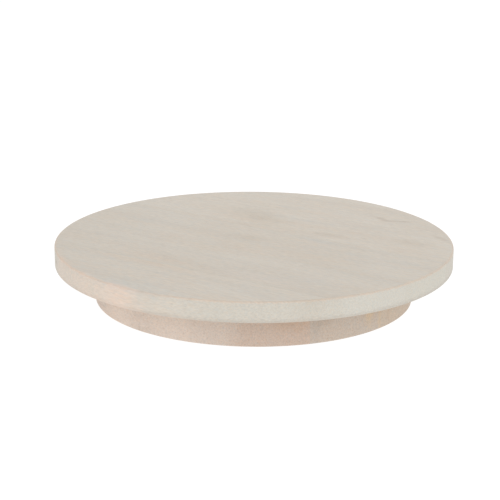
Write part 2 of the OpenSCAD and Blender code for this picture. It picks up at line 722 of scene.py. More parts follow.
def grain_mark() -> bpy.types.NodeTree:
    """A soft-edged oval mark, such as a pin knot or a mineral streak.

    Returns:
        The node group.
    """

    def fill(sheet: Sheet, given: bpy.types.Node) -> dict[str, Value]:
        """Adds the group's nodes.

        Args:
            sheet: The group's sheet.
            given: The node that gives its inputs.

        Returns:
            What feeds each output.
        """
        from_middle = sheet.vector("SUBTRACT", given.outputs["Place"], given.outputs["Middle"])
        turned = sheet.turned(from_middle, sheet.math("MULTIPLY", given.outputs["Turn"], -1.0))
        ragged = sheet.noise(given.outputs["Place"], (6.0 * MM, 6.0 * MM, 6.0 * MM), detail=3.0)
        away = sheet.vector("LENGTH", sheet.vector("DIVIDE", turned, given.outputs["Half Size"]))
        uneven = sheet.weighted(away, [(sheet.math("SUBTRACT", ragged, 0.5), 1.4)])
        return {"Mark": sheet.ramp(uneven, 1.5, 0.0)}

    inputs = {"Place": VECTOR, "Middle": VECTOR, "Half Size": VECTOR, "Turn": FLOAT}
    return shared_group("Grain mark", inputs, {"Mark": FLOAT}, fill)


def limed_plank() -> bpy.types.NodeTree:
    """Wood under a thin white wash, with its figure showing through and its edges rubbed.

    Returns:
        The node group.
    """

    def fill(sheet: Sheet, given: bpy.types.Node) -> dict[str, Value]:
        """Adds the group's nodes.

        Args:
            sheet: The group's sheet.
            given: The node that gives its inputs.

        Returns:
            What feeds each output.
        """
        get = given.outputs
        keys = {key: get[key] for key in ("Place", "Grain", "Seed")}
        plank = sheet.use(plank_space(), keys).outputs["Plank"]
        figure = sheet.use(plank_figure(), {"Plank": plank, "Pith": get["Pith"]}).outputs
        edges = {key: get[key] for key in ("Place", "Radius", "Low", "High", "Width")}
        edge = sheet.use(arris_wear(), edges).outputs

        flow = sheet.turned((1.0, 0.0, 0.0), get["Grain"])
        end = sheet.math("ABSOLUTE", sheet.vector("DOT_PRODUCT", get["Facing"], flow))
        end = sheet.ramp(end, 0.12, 0.42)
        open_face = sheet.ramp(end, 0.0, 1.0, 1.0, 0.3)

        color = get["Wash"]
        for mask, amount, under in (("Cloud", "Thin", "Wood"), ("Warm", "Warm", "Wood"),
                                    ("Cool", "Cool", "Shade"), ("Rings", "Rings", "Wood")):
            shown = sheet.math("MULTIPLY", figure[mask], get[amount])
            color = sheet.blend(sheet.math("MULTIPLY", shown, open_face), color, get[under])
        # The last pair darkens the lower arris with the fleck colour: painted shade under the
        # rounding.
        for mask, amount, over in (
            (figure["Lines"], "Lines", "Shade"), (end, "Ends", "End Tint"),
            (figure["Specks"], "Flecks", "Fleck"), (figure["Pores"], "Pores", "Fleck"),
            (edge["Wear"], "Worn", "Bare"), (edge["Dust"], "Dusty", "Fleck"),
        ):
            color = sheet.blend(sheet.math("MULTIPLY", mask, get[amount]), color, get[over])

        coarse = sheet.ramp(end, 0.0, 1.0, 1.0, 1.2)
        light = sheet.math("MULTIPLY", sheet.math("MULTIPLY", figure["Grit"], get["Grit"]), coarse)
        light = sheet.math("ADD", light, 1.0)
        warmth = sheet.math("MULTIPLY", figure["Hue"], sheet.math("MULTIPLY", get["Grit"], 0.48))
        red, blue = sheet.math("ADD", light, warmth), sheet.math("SUBTRACT", light, warmth)

        sanding = sheet.noise(plank, SANDING_CELL, detail=1.0)
        return {
            "Color": color,
            "Tone": sheet.combined(red, light, blue),
            "Roughness": sheet.weighted(
                0.58, [(figure["Pores"], 0.16), (figure["Cloud"], 0.07), (edge["Wear"], -0.12)]
            ),
            "Height": sheet.weighted(
                0.0, [(figure["Pores"], -0.8), (figure["Lines"], -0.25),
                      (figure["Specks"], -0.35), (sanding, 0.25)]
            ),
        }

    floats = ("Grain", "Seed", "Radius", "Low", "High", "Width", "Thin", "Warm", "Cool", "Rings",
              "Lines", "Flecks", "Pores", "Grit", "Ends", "Worn", "Dusty")
    colors = ("Wash", "Wood", "Shade", "Fleck", "End Tint", "Bare")
    inputs = {
        **dict.fromkeys(("Place", "Facing", "Pith"), VECTOR),
        **dict.fromkeys(floats, FLOAT),
        **dict.fromkeys(colors, COLOR),
    }
    outputs = {"Color": COLOR, "Tone": VECTOR, "Roughness": FLOAT, "Height": FLOAT}
    return shared_group("Limed plank", inputs, outputs, fill)


# ------------------------------------------------------------------ finishes


def new_material(name: str) -> tuple[bpy.types.Material, Sheet, bpy.types.Node]:
    """An empty material with its shader.

    Args:
        name: The material's name.

    Returns:
        The material, its sheet and its Principled BSDF.
    """
    material = bpy.data.materials.new(name)
    material.use_nodes = True
    sheet = Sheet(material.node_tree)
    return material, sheet, material.node_tree.nodes["Principled BSDF"]


def dress(
    sheet: Sheet, shader: bpy.types.Node, color: Value, rough: Value, height: Value,
    strength: float, depth: float,
) -> None:
    """Feeds a shader's colour, roughness and normal.

    Args:
        sheet: The material's sheet.
        shader: Its Principled BSDF.
        color: The surface's colour.
        rough: Its roughness.
        height: Its relief, from 0 to 1.
        strength: How strongly the relief shows.
        depth: How deep the relief is, in metres.
    """
    bump = {"Height": height, "Strength": strength, "Distance": depth}
    sheet.feed(shader.inputs["Base Color"], color)
    sheet.feed(shader.inputs["Roughness"], rough)
    sheet.feed(shader.inputs["Normal"], sheet.add("ShaderNodeBump", bump).outputs[0])


@dataclass(frozen=True)
class Mark:
    """A mark in the wood, placed on the board.

    Attributes:
        middle: Its place in millimetres.
        half_size: Its half length, half width and half height in millimetres.
        turn: The direction of its length in degrees.
        color: Its colour.
        amount: How strongly it shows.
    """

    middle: Triple
    half_size: Triple
    turn: float
    color: Color
    amount: float

    def over(self, color: Value, sheet: Sheet, place: Socket) -> Socket:
        """Lays the mark over a colour.

        Args:
            color: The colour without it.
            sheet: The material's sheet.
            place: The place on the board.

        Returns:
            The colour with it.
        """
        inputs = {
            "Place": place,
            "Middle": [size * MM for size in self.middle],
            "Half Size": [size * MM for size in self.half_size],
            "Turn": math.radians(self.turn),
        }
        mask = sheet.use(grain_mark(), inputs).outputs["Mark"]
        return sheet.blend(sheet.math("MULTIPLY", mask, self.amount), color, self.color)


def edge_mark(
    radius: float, degrees: float, height: float, half_size: Triple, color: Color, amount: float
) -> Mark:
    """A mark on a round board's side.

    Args:
        radius: The board's radius in millimetres.
        degrees: Where it is round the board.
        height: Its height in millimetres.
        half_size: How far it goes into the wood, along the side and up, in millimetres.
        color: Its colour.
        amount: How strongly it shows.

    Returns:
        The mark.
    """
    at = polar(radius, degrees, height)
    return Mark((at.x, at.y, at.z), half_size, degrees, color, amount)


@dataclass(frozen=True)
class LimedWood:
    """The finish of one stave.

    Attributes:
        seed: Picks the piece of plank that it was cut from.
        wash: The colour of the white wash over the wood.
        wood: The warm wood that shows through.
        shade: The cool grey of mineral streaks and dark lines.
        bare: The colour of bare wood at a rubbed edge.
        fleck: The colour of pores and flecks, and of the painted shade on the lower edge.
        end_tint: The colour of washed end grain.
        thin: How thin the wash is in patches.
        warm: How strongly warm streaks show.
        cool: How strongly cool streaks show.
        rings: How strongly growth rings show.
        lines: How strongly fine lines show.
        flecks: How strongly flecks show.
        pores: How strongly pores show.
        grit: How uneven the finest fibres are.
        ends: How strongly end grain takes its own colour.
        worn: How strongly bare wood shows at the edges.
        dusty: How strongly painted shade darkens the lower edge.
        pith: Where the middle of the tree lay, across and up, in millimetres.
        marks: Single marks in the wood.
    """

    seed: float
    wash: Color = tint(217, 209, 197)
    wood: Color = tint(212, 193, 173)
    shade: Color = tint(190, 189, 185)
    bare: Color = tint(220, 200, 181)
    fleck: Color = tint(164, 150, 138)
    end_tint: Color = tint(207, 202, 191)
    thin: float = 0.12
    warm: float = 0.16
    cool: float = 0.14
    rings: float = 0.05
    lines: float = 0.12
    flecks: float = 0.06
    pores: float = 0.16
    grit: float = 0.27
    ends: float = 0.7
    worn: float = 0.6
    dusty: float = 0.22
    pith: Triple = (0.0, 40.0, 55.0)
    marks: tuple[Mark, ...] = ()

    def material(self, name: str, board: "RoundBoard") -> bpy.types.Material:
        """Builds the material of a stave of a board.

        Args:
            name: The material's name.
            board: The board, which gives the grain's direction and where the edges are.

        Returns:
            The material.
        """
        material, sheet, shader = new_material(name)
        at = sheet.add("ShaderNodeTexCoord", {}).outputs
        inputs = {
            "Place": at["Object"], "Facing": at["Normal"], "Grain": math.radians(board.grain),
            "Radius": board.radius, "Low": board.low, "High": board.high,
            "Width": board.wear_width,
        }
        for field, value in vars(self).items():
            if field != "marks":
                inputs[field.replace("_", " ").title()] = value
        plank = sheet.use(limed_plank(), inputs).outputs
        color = plank["Color"]
        for mark in self.marks:
            color = mark.over(color, sheet, at["Object"])
        color = sheet.vector("MULTIPLY", color, plank["Tone"])
        dress(sheet, shader, color, plank["Roughness"], plank["Height"], 0.35, 0.06 * MM)
        shader.inputs["IOR"].default_value = 1.45
        shader.inputs["Specular IOR Level"].default_value = 0.3
        return material


def steel_surface() -> bpy.types.NodeTree:
    """Plated sheet steel: fine rolling lines, a faint crystal pattern, smears and tiny pits.

    Returns:
        The node group.
    """

    def fill(sheet: Sheet, given: bpy.types.Node) -> dict[str, Value]:
        """Adds the group's nodes.

        Args:
            sheet: The group's sheet.
            given: The node that gives its inputs.

        Returns:
            What feeds each output.
        """
        place = given.outputs["Place"]
        rolled = sheet.noise(place, (30.0 * MM, 0.25 * MM, 0.25 * MM))
        smear = sheet.noise(place, (14.0 * MM, 9.0 * MM, 9.0 * MM), detail=4.0, bend=0.6)
        cells = sheet.vector("DIVIDE", place, (3.5 * MM, 3.5 * MM, 3.5 * MM))
        crystal = sheet.add("ShaderNodeTexVoronoi", {"Vector": cells, "Scale": 1.0})
        gray = sheet.add("ShaderNodeRGBToBW", {0: crystal.outputs["Color"]}).outputs[0]
        fine = sheet.noise(place, (0.5 * MM, 0.5 * MM, 0.5 * MM), detail=1.0)
        pits = sheet.ramp(fine, 0.66, 0.76)
        light = sheet.weighted(0.86, [(gray, 0.14), (sheet.ramp(smear, 0.5, 0.7), -0.12)])
        levels = sheet.combined(light, light, light)
        shaded = sheet.blend(1.0, given.outputs["Metal"], levels, "MULTIPLY")
        return {
            "Color": sheet.blend(sheet.math("MULTIPLY", pits, 0.5), shaded, given.outputs["Stain"]),
            "Roughness": sheet.weighted(given.outputs["Polish"], [(smear, 0.16)]),
            "Height": sheet.weighted(0.0, [(rolled, 0.4), (pits, -1.0)]),
        }

    inputs = {"Place": VECTOR, "Metal": COLOR, "Stain": COLOR, "Polish": FLOAT}
    outputs = {"Color": COLOR, "Roughness": FLOAT, "Height": FLOAT}
    return shared_group("Steel surface", inputs, outputs, fill)


@dataclass(frozen=True)
class Steel:
    """A steel finish.

    Attributes:
        metal: The metal's colour.
        stain: The colour of pits and old grease.
        polish: The roughness of its cleanest parts.
        grain_depth: How deep its surface lines are, in metres.
    """

    metal: Color
    stain: Color = tint(96, 88, 80)
    polish: float = 0.22
    grain_depth: float = 0.01 * MM

    def material(self, name: str) -> bpy.types.Material:
        """Builds the material.

        Args:
            name: The material's name.

        Returns:
            The material.
        """
        material, sheet, shader = new_material(name)
        at = sheet.add("ShaderNodeTexCoord", {}).outputs["Object"]
        inputs = {"Place": at, "Metal": self.metal, "Stain": self.stain, "Polish": self.polish}
        metal = sheet.use(steel_surface(), inputs).outputs
        dress(sheet, shader, metal["Color"], metal["Roughness"], metal["Height"], 0.3,
              self.grain_depth)
        shader.inputs["Metallic"].default_value = 1.0
        return material


@dataclass(frozen=True)
class Rubber:
    """Moulded rubber with a fine matt texture and dust where it meets the bench.

    Attributes:
        color: The rubber's colour.
        dust: The colour of the dust on it.
    """

    color: Color = tint(46, 46, 48)
    dust: Color = tint(150, 145, 138)

    def material(self, name: str) -> bpy.types.Material:
        """Builds the material.

        Args:
            name: The material's name.

        Returns:
            The material.
        """
        material, sheet, shader = new_material(name)
        at = sheet.add("ShaderNodeTexCoord", {}).outputs["Object"]
        texture = sheet.noise(at, (0.35 * MM, 0.35 * MM, 0.35 * MM))
        patches = sheet.noise(at, (5.0 * MM, 5.0 * MM, 2.0 * MM), detail=4.0)
        dusty = sheet.math("MULTIPLY", sheet.ramp(patches, 0.45, 0.75), 0.35)
        color = sheet.blend(dusty, self.color, self.dust)
        rough = sheet.ramp(texture, 0.3, 0.7, 0.62, 0.8)
        dress(sheet, shader, color, rough, texture, 0.4, 0.04 * MM)
        return material


# ------------------------------------------------------------------ sub-assemblies


@dataclass
class RoundBoard:
    """A round board glued up from staves.

    Attributes:
        name: What its staves' names start with.
        finishes: The finish of each stave, in order across the grain.
        grain: The grain's direction in degrees from +X.
        body: The body that it rides on.
        slot: The record's slot for its wood.
        edge_round: The radius of its sanded edges.
        seam_round: How far the staves' own edges are eased at the seams.
        wear_width: How far from an edge the wash is rubbed.
        sides: How many sides its round outline has.
    """

    name: str
    finishes: Sequence[LimedWood]
    grain: float
    body: Body
    slot: Slot
    edge_round: float = 1.0 * MM
    seam_round: float = 0.08 * MM
    wear_width: float = 1.4 * MM
    sides: int = 288

    def __post_init__(self) -> None:
        """Takes the board's size from the frame."""
        boxes = [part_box(self.node(index)) for index in range(len(self.finishes))]
        self.low = min(box[0].z for box in boxes)
        self.high = max(box[1].z for box in boxes)
        flow = polar(1.0, self.grain)
        self.radius = max(span(self.node(index), flow)[1] for index in range(len(self.finishes)))
        self.across = polar(1.0, self.grain + 90)

    def node(self, index: int) -> str:
        """The name of a stave's node."""
        return f"{self.name}_stave_{index + 1}"

    def blank(self) -> bpy.types.Object:
        """Turns the whole board: a disc with rounded edges.

        Returns:
            The disc.
        """
        disc = rod(self.radius, self.low, self.high, sides=self.sides)
        pick_edges(disc, lambda point: math.hypot(point.x, point.y) > self.radius - NEAR)
        for edge in disc.data.edges:
            ends = [disc.data.vertices[index].co.z for index in edge.vertices]
            edge.select = edge.select and abs(ends[0] - ends[1]) < NEAR
        with editing(disc):
            bpy.ops.mesh.bevel(offset=self.edge_round, segments=6, profile=0.5, affect="EDGES")
        return disc

    def stave(self, index: int, cutters: Sequence[bpy.types.Object]) -> bpy.types.Object:
        """Saws one stave out of the board and drills it.

        Args:
            index: Which stave, from 0.
            cutters: Solids for the holes and recesses of the whole board.

        Returns:
            The stave's mesh.
        """
        piece = self.blank()
        low, high = span(self.node(index), self.across)
        for place, outer, inner in ((low, False, True), (high, True, False)):
            if abs(place) > self.radius - MM:
                continue
            with editing(piece, "FACE", everything=True):
                bpy.ops.mesh.bisect(
                    plane_co=self.across * place, plane_no=self.across, use_fill=True,
                    clear_outer=outer, clear_inner=inner, threshold=MERGE,
                )
        for cutter in cutters:
            cut_away(piece, cutter, keep_cutter=True)
        ease(piece, self.seam_round, segments=2, degrees=40)
        return piece

    def build(self, cutters: Sequence[bpy.types.Object]) -> None:
        """Makes every stave of the board.

        Args:
            cutters: Solids for the holes and recesses, which are removed afterwards.
        """
        for index, finish in enumerate(self.finishes):
            piece = self.stave(index, cutters)
            material = finish.material(f"{self.name}_wood_{index + 1}", self)
            node = self.node(index)
            place(piece, node + "_wood", self.body, self.slot, material, [node])
        for cutter in cutters:
            bpy.data.objects.remove(cutter)


@dataclass
class FlatBearing:
    """The flat ball bearing: two square plates, an outer race and a ring of balls.

    Attributes:
        plate_width: Side of each plate.
        sheet: Thickness of the plates and races.
        hole_inset: From a plate's edge to its holes, and the corners' radius.
        hole_radius: Radius of the screw holes.
        ball_radius: Radius of the balls.
        ring_radius: Radius of the circle of ball centres.
        ball_count: Number of balls.
        clearance: Room between a ball and its race.
        lip: How far a race curls past the middle of the balls, in degrees.
        angle: Direction of the lower plate's sides in degrees.
        rest_turn: How far the upper plate is turned from the lower one at rest.
        ring_sides: How many sides the races and the upper plate's opening have.
        plate_round: The rounding of a plate's edges.
        race_round: The rounding of the outer race's edges.
    """

    plate_width: float = 101.6 * MM
    sheet: float = 1.2 * MM
    hole_inset: float = 6.35 * MM
    hole_radius: float = 2.25 * MM
    ball_radius: float = 2.75 * MM
    ring_radius: float = 39.0 * MM
    ball_count: int = 36
    clearance: float = 0.05 * MM
    lip: float = 30.0
    angle: float = -71.0
    rest_turn: float = 45.0
    ring_sides: int = 144
    plate_round: float = 0.18 * MM
    race_round: float = 0.15 * MM

    def __post_init__(self) -> None:
        """Takes the bearing's place from the frame."""
        self.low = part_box("bearing_lower_plate")[0].z
        self.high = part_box("bearing_upper_plate")[1].z
        low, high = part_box("bearing_balls")
        self.ball_height = (low.z + high.z) / 2
        self.curl_radius = self.ball_radius + self.clearance + self.sheet / 2
        self.hole_ring = (self.plate_width / 2 - self.hole_inset) * math.sqrt(2)

    def hole_places(self, turn: float) -> list[Vector]:
        """Where a plate's four screw holes are.

        Args:
            turn: The plate's direction in degrees.

        Returns:
            The places of their axes.
        """
        return [polar(self.hole_ring, turn + 45 + 90 * corner) for corner in range(4)]

    def square_outline(self, height: float, turn: float) -> bpy.types.Object:
        """A flat square with rounded corners.

        Args:
            height: Its height.
            turn: Its direction in degrees.

        Returns:
            The new object, one face.
        """
        deselect_all()
        bpy.ops.mesh.primitive_plane_add(size=self.plate_width, location=(0, 0, height))
        bpy.context.object.rotation_euler.z = math.radians(turn)
        outline = settle(bpy.context.object)
        with editing(outline, "VERT", everything=True):
            bpy.ops.mesh.bevel(offset=self.hole_inset, segments=10, profile=0.5, affect="VERTICES")
        return outline

    def curl(self, start: float, end: float) -> bpy.types.Object:
        """A band of a ring round the balls, with no thickness yet.

        Args:
            start: Where it starts round the balls, in degrees, 0 outwards and 90 up.
            end: Where it ends.

        Returns:
            The new object.
        """
        deselect_all()
        bpy.ops.mesh.primitive_torus_add(
            major_radius=self.ring_radius, minor_radius=self.curl_radius,
            major_segments=self.ring_sides, minor_segments=72, location=(0, 0, self.ball_height),
        )
        band = settle(bpy.context.object)

        def outside(middle: Vector) -> bool:
            """Tests a face.

            Args:
                middle: Its centre.

            Returns:
                Whether it lies outside the band.
            """
            outwards = math.hypot(middle.x, middle.y) - self.ring_radius
            round_balls = math.degrees(math.atan2(middle.z - self.ball_height, outwards))
            return not start < (round_balls - start) % 360 + start < end

        pick_faces(band, outside)
        with editing(band, "FACE"):
            bpy.ops.mesh.delete(type="FACE")
        return band

    def drill(self, plate: bpy.types.Object, turn: float) -> None:
        """Punches a plate's screw holes and eases all of its edges.

        Args:
            plate: The plate.
            turn: Its direction in degrees.
        """
        for at in self.hole_places(turn):
            cut_away(plate, rod(self.hole_radius, self.low - MM, self.high + MM, at))
        ease(plate, self.plate_round, segments=2, degrees=50)

    def lower_plate(self, steel: bpy.types.Material) -> None:
        """Presses the lower plate: a flat square whose inner edge curls up round the balls.

        Args:
            steel: Its material.
        """
        middle = self.low + self.sheet / 2
        band = self.curl(180 - self.lip, 270)
        outline = self.square_outline(middle, self.angle)
        with editing(outline, "FACE", everything=True):
            bpy.ops.mesh.delete(type="ONLY_FACE")
        plate = joined([band, outline])
        flat = self.ring_radius - NEAR

        def at_plate(point: Vector) -> bool:
            """Whether a point lies on the flat, outside the balls' circle."""
            return abs(point.z - middle) < NEAR and math.hypot(point.x, point.y) > flat

        pick_edges(plate, at_plate)
        with editing(plate):
            bpy.ops.mesh.bridge_edge_loops()
        face_outwards(plate)
        add_modifier(plate, "SOLIDIFY", thickness=self.sheet, offset=0.0, use_even_offset=True)
        self.drill(plate, self.angle)
        place(plate, "bearing_lower_plate_pressed", Body.BASE, Slot.PLATE, steel,
              ["bearing_lower_plate"])

    def upper_plate(self, steel: bpy.types.Material) -> None:
        """Presses the upper plate: a flat square with a round opening.

        Args:
            steel: Its material.
        """
        turn = self.angle + self.rest_turn
        plate = self.square_outline(self.high - self.sheet, turn)
        with editing(plate, "FACE", everything=True):
            up = (0, 0, self.sheet)
            bpy.ops.mesh.extrude_region_move(TRANSFORM_OT_translate={"value": up})
        face_outwards(plate)
        opening = self.ring_radius - self.ball_radius - self.clearance - self.sheet
        cut_away(plate, rod(opening, self.low, self.high + MM, sides=self.ring_sides))
        self.drill(plate, turn)
        place(plate, "bearing_upper_plate_pressed", Body.HEAD, Slot.PLATE, steel,
              ["bearing_upper_plate"])

    def outer_race(self, steel: bpy.types.Material) -> None:
        """Rolls the ring under the upper plate that goes round the balls' outer side.

        Args:
            steel: Its material.
        """
        ring = self.curl(-self.lip, 75)
        face_outwards(ring)
        add_modifier(ring, "SOLIDIFY", thickness=self.sheet, offset=0.0, use_even_offset=True)
        under = Vector((0, 0, self.high - self.sheet))
        with editing(ring, "FACE", everything=True):
            bpy.ops.mesh.bisect(
                plane_co=under, plane_no=(0, 0, 1), use_fill=True, clear_outer=True
            )
        ease(ring, self.race_round, segments=2, degrees=50)
        place(ring, "bearing_outer_race_rolled", Body.HEAD, Slot.PLATE, steel,
              ["bearing_outer_race"])

    def balls(self, steel: bpy.types.Material) -> None:
        """Lays the ring of balls.

        Args:
            steel: Their material.
        """
        deselect_all()
        bpy.ops.mesh.primitive_uv_sphere_add(
            segments=32, ring_count=20, radius=self.ball_radius,
            location=(self.ring_radius, 0, self.ball_height),
        )
        first = settle(bpy.context.object)
        step = 2 * math.pi / self.ball_count
        others = [copy_turned(first, step * number) for number in range(1, self.ball_count)]
        place(joined([first, *others]), "bearing_balls_polished", Body.BALLS, Slot.BALL, steel,
              ["bearing_balls"], smooth_degrees=180.0)

    def build(self) -> None:
        """Makes the whole bearing."""
        plated = Steel(tint(196, 198, 200))
        rolled = Steel(tint(184, 186, 190), polish=0.18)
        polished = Steel(tint(208, 210, 214), polish=0.06, grain_depth=0.002 * MM)
        zinc_plate = plated.material("zinc_plate")
        self.lower_plate(zinc_plate)
        self.upper_plate(zinc_plate)
        self.outer_race(rolled.material("race_steel"))
        self.balls(polished.material("ball_steel"))


@dataclass
class Screws:
    """A set of pan-head wood screws with a cross recess.

    Attributes:
        node: The frame node that they stand for.
        body: The body that they ride on.
        places: Where their axes are.
        seat: The height that their heads sit at.
        length: Their length under the head.
        upside_down: Whether they are driven upwards.
        thread_radius: Outer radius of the thread.
        core_radius: Radius of the core.
        pitch: Rise of one turn of thread.
        head_radius: Radius of the head.
        head_height: Height of the head.
        head_round: The rounding of its upper edge.
        recess_foot: How far the cross recess reaches at its bottom.
        recess_top: How far it would reach at its top, which is above the head.
        recess_depth: From its bottom to its top.
        recess_middle: How far the middle of that depth lies under the head's top.
        recess_slot: How wide its slots are for their length.
        point: The length of the point, in thread radii.
        tip: How wide the end of the point is for the core.
        thread_start: How far under the head the thread starts.
        thread_root: How far it sits in the core.
        thread_thick: Half its thickness at the core, in pitches.
        thread_sides: How many sides one turn of it has.
        next_turn: How far each screw's recess is turned from the last one's, in radians.
    """

    node: str
    body: Body
    places: Sequence[Vector]
    seat: float
    length: float
    upside_down: bool
    thread_radius: float = 1.75 * MM
    core_radius: float = 1.2 * MM
    pitch: float = 1.6 * MM
    head_radius: float = 3.5 * MM
    head_height: float = 2.0 * MM
    head_round: float = 0.9 * MM
    recess_foot: float = 1.3 * MM
    recess_top: float = 3.2 * MM
    recess_depth: float = 1.4 * MM
    recess_middle: float = 0.6 * MM
    recess_slot: float = 0.26
    point: float = 2.2
    tip: float = 0.08
    thread_start: float = 1.2 * MM
    thread_root: float = 0.1 * MM
    thread_thick: float = 0.3
    thread_sides: int = 24
    next_turn: float = 0.7

    def head(self) -> bpy.types.Object:
        """Forms the pan head, with its cross recess, above height 0.

        Returns:
            The head.
        """
        pan = rod(self.head_radius, 0.0, self.head_height, sides=64)
        pick_edges(pan, lambda point: point.z > self.head_height - NEAR)
        with editing(pan):
            bpy.ops.mesh.bevel(offset=self.head_round, segments=6, profile=0.5, affect="EDGES")
        deselect_all()
        bpy.ops.mesh.primitive_cone_add(
            vertices=4, radius1=self.recess_foot, radius2=self.recess_top,
            depth=self.recess_depth, location=(0, 0, self.head_height - self.recess_middle),
            rotation=(0, 0, math.pi / 4),
        )
        blade = settle(bpy.context.object)
        blade.scale = (1.0, self.recess_slot, 1.0)
        settle(blade)
        crossed = copy_turned(blade, math.pi / 2)
        add_modifier(blade, "BOOLEAN", operation="UNION", solver="EXACT", object=crossed)
        bpy.data.objects.remove(crossed)
        cut_away(pan, blade)
        face_outwards(pan)
        add_modifier(pan, "TRIANGULATE")
        return pan

    def shank(self) -> bpy.types.Object:
        """Turns the core, its point and the thread, below height 0.

        Returns:
            The shank.
        """
        point = self.point * self.thread_radius
        straight = self.length - point
        core = rod(self.core_radius, -straight, 0.0, sides=32)
        pick_faces(core, lambda middle: middle.z < -straight + NEAR)
        with editing(core, "FACE"):
            down = (0, 0, -point)
            bpy.ops.mesh.extrude_region_move(TRANSFORM_OT_translate={"value": down})
            bpy.ops.transform.resize(value=(self.tip, self.tip, 1.0))
        turns = int((straight - 1.0 * MM) / self.pitch)
        return joined([core, self.thread(turns)])

    def thread(self, turns: int) -> bpy.types.Object:
        """Winds the thread's ridge round the core.

        Args:
            turns: How many turns it has.

        Returns:
            The ridge.
        """
        deselect_all()
        middle = (self.core_radius + self.thread_radius) / 2
        bpy.ops.mesh.primitive_circle_add(
            vertices=4, radius=1.0, location=(middle, 0, -self.thread_start),
            rotation=(math.pi / 2, 0, 0),
        )
        half_width = (self.thread_radius - self.core_radius) / 2 + self.thread_root
        bpy.context.object.scale = (half_width, self.pitch * self.thread_thick, 1.0)
        ridge = settle(bpy.context.object)
        steps = self.thread_sides * turns
        add_modifier(
            ridge, "SCREW", angle=2 * math.pi * turns, screw_offset=-self.pitch * (turns - 0.5),
            steps=steps, render_steps=steps, use_normal_calculate=True,
        )
        with editing(ridge):
            bpy.ops.mesh.select_all(action="DESELECT")
            bpy.ops.mesh.select_non_manifold()
            bpy.ops.mesh.edge_face_add()
        face_outwards(ridge)
        return ridge

    def build(self, steel: bpy.types.Material) -> None:
        """Makes one screw and copies it to each place.

        Args:
            steel: Their material.
        """
        pattern = joined([self.head(), self.shank()])
        if self.upside_down:
            pattern.rotation_euler.x = math.pi
            settle(pattern)
        copies = []
        for number, at in enumerate(self.places):
            copy = copy_turned(pattern, self.next_turn * number)
            copy.location = (at.x, at.y, self.seat)
            copies.append(settle(copy))
        bpy.data.objects.remove(pattern)
        place(joined(copies), self.node + "_steel", self.body, Slot.SCREW, steel, [self.node])


@dataclass
class Pads:
    """The rubber pads under the base.

    Attributes:
        count: How many there are.
        edge_round: The rounding of their edges.
    """

    count: int = 4
    edge_round: float = 0.4 * MM

    def build(self, rubber: bpy.types.Material) -> None:
        """Makes each pad where the frame has it.

        Args:
            rubber: Their material.
        """
        for number in range(1, self.count + 1):
            node = f"rubber_pad_{number}"
            low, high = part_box(node)
            pad = rod((high.x - low.x) / 2, low.z, high.z, (low + high) / 2, sides=72)
            ease(pad, self.edge_round, segments=5, degrees=60)
            place(pad, node + "_moulded", Body.BASE, Slot.PAD, rubber, [node])


@dataclass
class Turntable:
    """The whole turntable.

    Attributes:
        head_grain: Direction of the head's grain in degrees.
        base_grain: Direction of the base's grain in degrees.
        recess_radius: Radius of the recess in the base.
        access_radius: Radius of the screwdriver hole.
        pilot_radius: Radius of the holes that the screws bite into.
        head_screw_length: Length of the head's screws.
        base_screw_length: Length of the base's screws.
        tip_room: Free depth past a screw's point.
    """

    head_grain: float = -34.0
    base_grain: float = -71.0
    recess_radius: float = 72.0 * MM
    access_radius: float = 7.0 * MM
    pilot_radius: float = 1.85 * MM
    head_screw_length: float = 10.0 * MM
    base_screw_length: float = 12.0 * MM
    tip_room: float = 0.5 * MM

    def head_cutters(self, bearing: FlatBearing, board: RoundBoard) -> list[bpy.types.Object]:
        """The holes in the underside of the head.

        Args:
            bearing: The bearing that is screwed to it.
            board: The head's board.

        Returns:
            The solids to cut away.
        """
        depth = self.head_screw_length - bearing.sheet + self.tip_room
        places = bearing.hole_places(bearing.angle + bearing.rest_turn)
        low, high = board.low - MM, board.low + depth
        return [joined([rod(self.pilot_radius, low, high, at) for at in places])]

    def base_cutters(self, bearing: FlatBearing, board: RoundBoard) -> list[bpy.types.Object]:
        """The recess, the screw holes and the access hole of the base.

        Args:
            bearing: The bearing that lies in the recess.
            board: The base's board.

        Returns:
            The solids to cut away.
        """
        floor = bearing.low
        depth = self.base_screw_length - bearing.sheet + self.tip_room
        recess = rod(self.recess_radius, floor, board.high + MM, sides=192)
        places = bearing.hole_places(bearing.angle)
        pilots = [rod(self.pilot_radius, floor - depth, floor + MM, at) for at in places]
        at = polar(bearing.hole_ring, bearing.angle + 90)
        access = rod(self.access_radius, board.low - MM, board.high + MM, at, sides=72)
        return [recess, joined(pilots), access]

    def build(self) -> None:
        """Makes every sub-assembly in order."""
        bearing = FlatBearing(angle=self.base_grain)
        head = RoundBoard("head", head_finishes(), self.head_grain, Body.HEAD, Slot.HEAD_WOOD)
        base = RoundBoard("base", base_finishes(), self.base_grain, Body.BASE, Slot.BASE_WOOD)
        head.build(self.head_cutters(bearing, head))
        base.build(self.base_cutters(bearing, base))
        bearing.build()
        screw_steel = Steel(tint(190, 190, 188), polish=0.26).material("screw_plating")
        for name, body, turn, seat, length, upside_down in (
            ("base_screws", Body.BASE, 0.0, bearing.low + bearing.sheet,
             self.base_screw_length, False),
            ("head_screws", Body.HEAD, bearing.rest_turn, bearing.high - bearing.sheet,
             self.head_screw_length, True),
        ):
            places = bearing.hole_places(bearing.angle + turn)
            Screws(name, body, places, seat, length, upside_down).build(screw_steel)
        Pads().build(Rubber().material("pad_rubber"))


SMUDGE, STAIN = tint(190, 178, 161), tint(176, 157, 140)
BLUISH, GLOW = tint(198, 198, 194), tint(218, 198, 178)
# The first tint below paints a narrow rust streak, and also broad bands of painted shade high on
# the base's side, under the head.
RUST_AND_SHADE, SLATE = tint(190, 154, 120), tint(180, 172, 164)
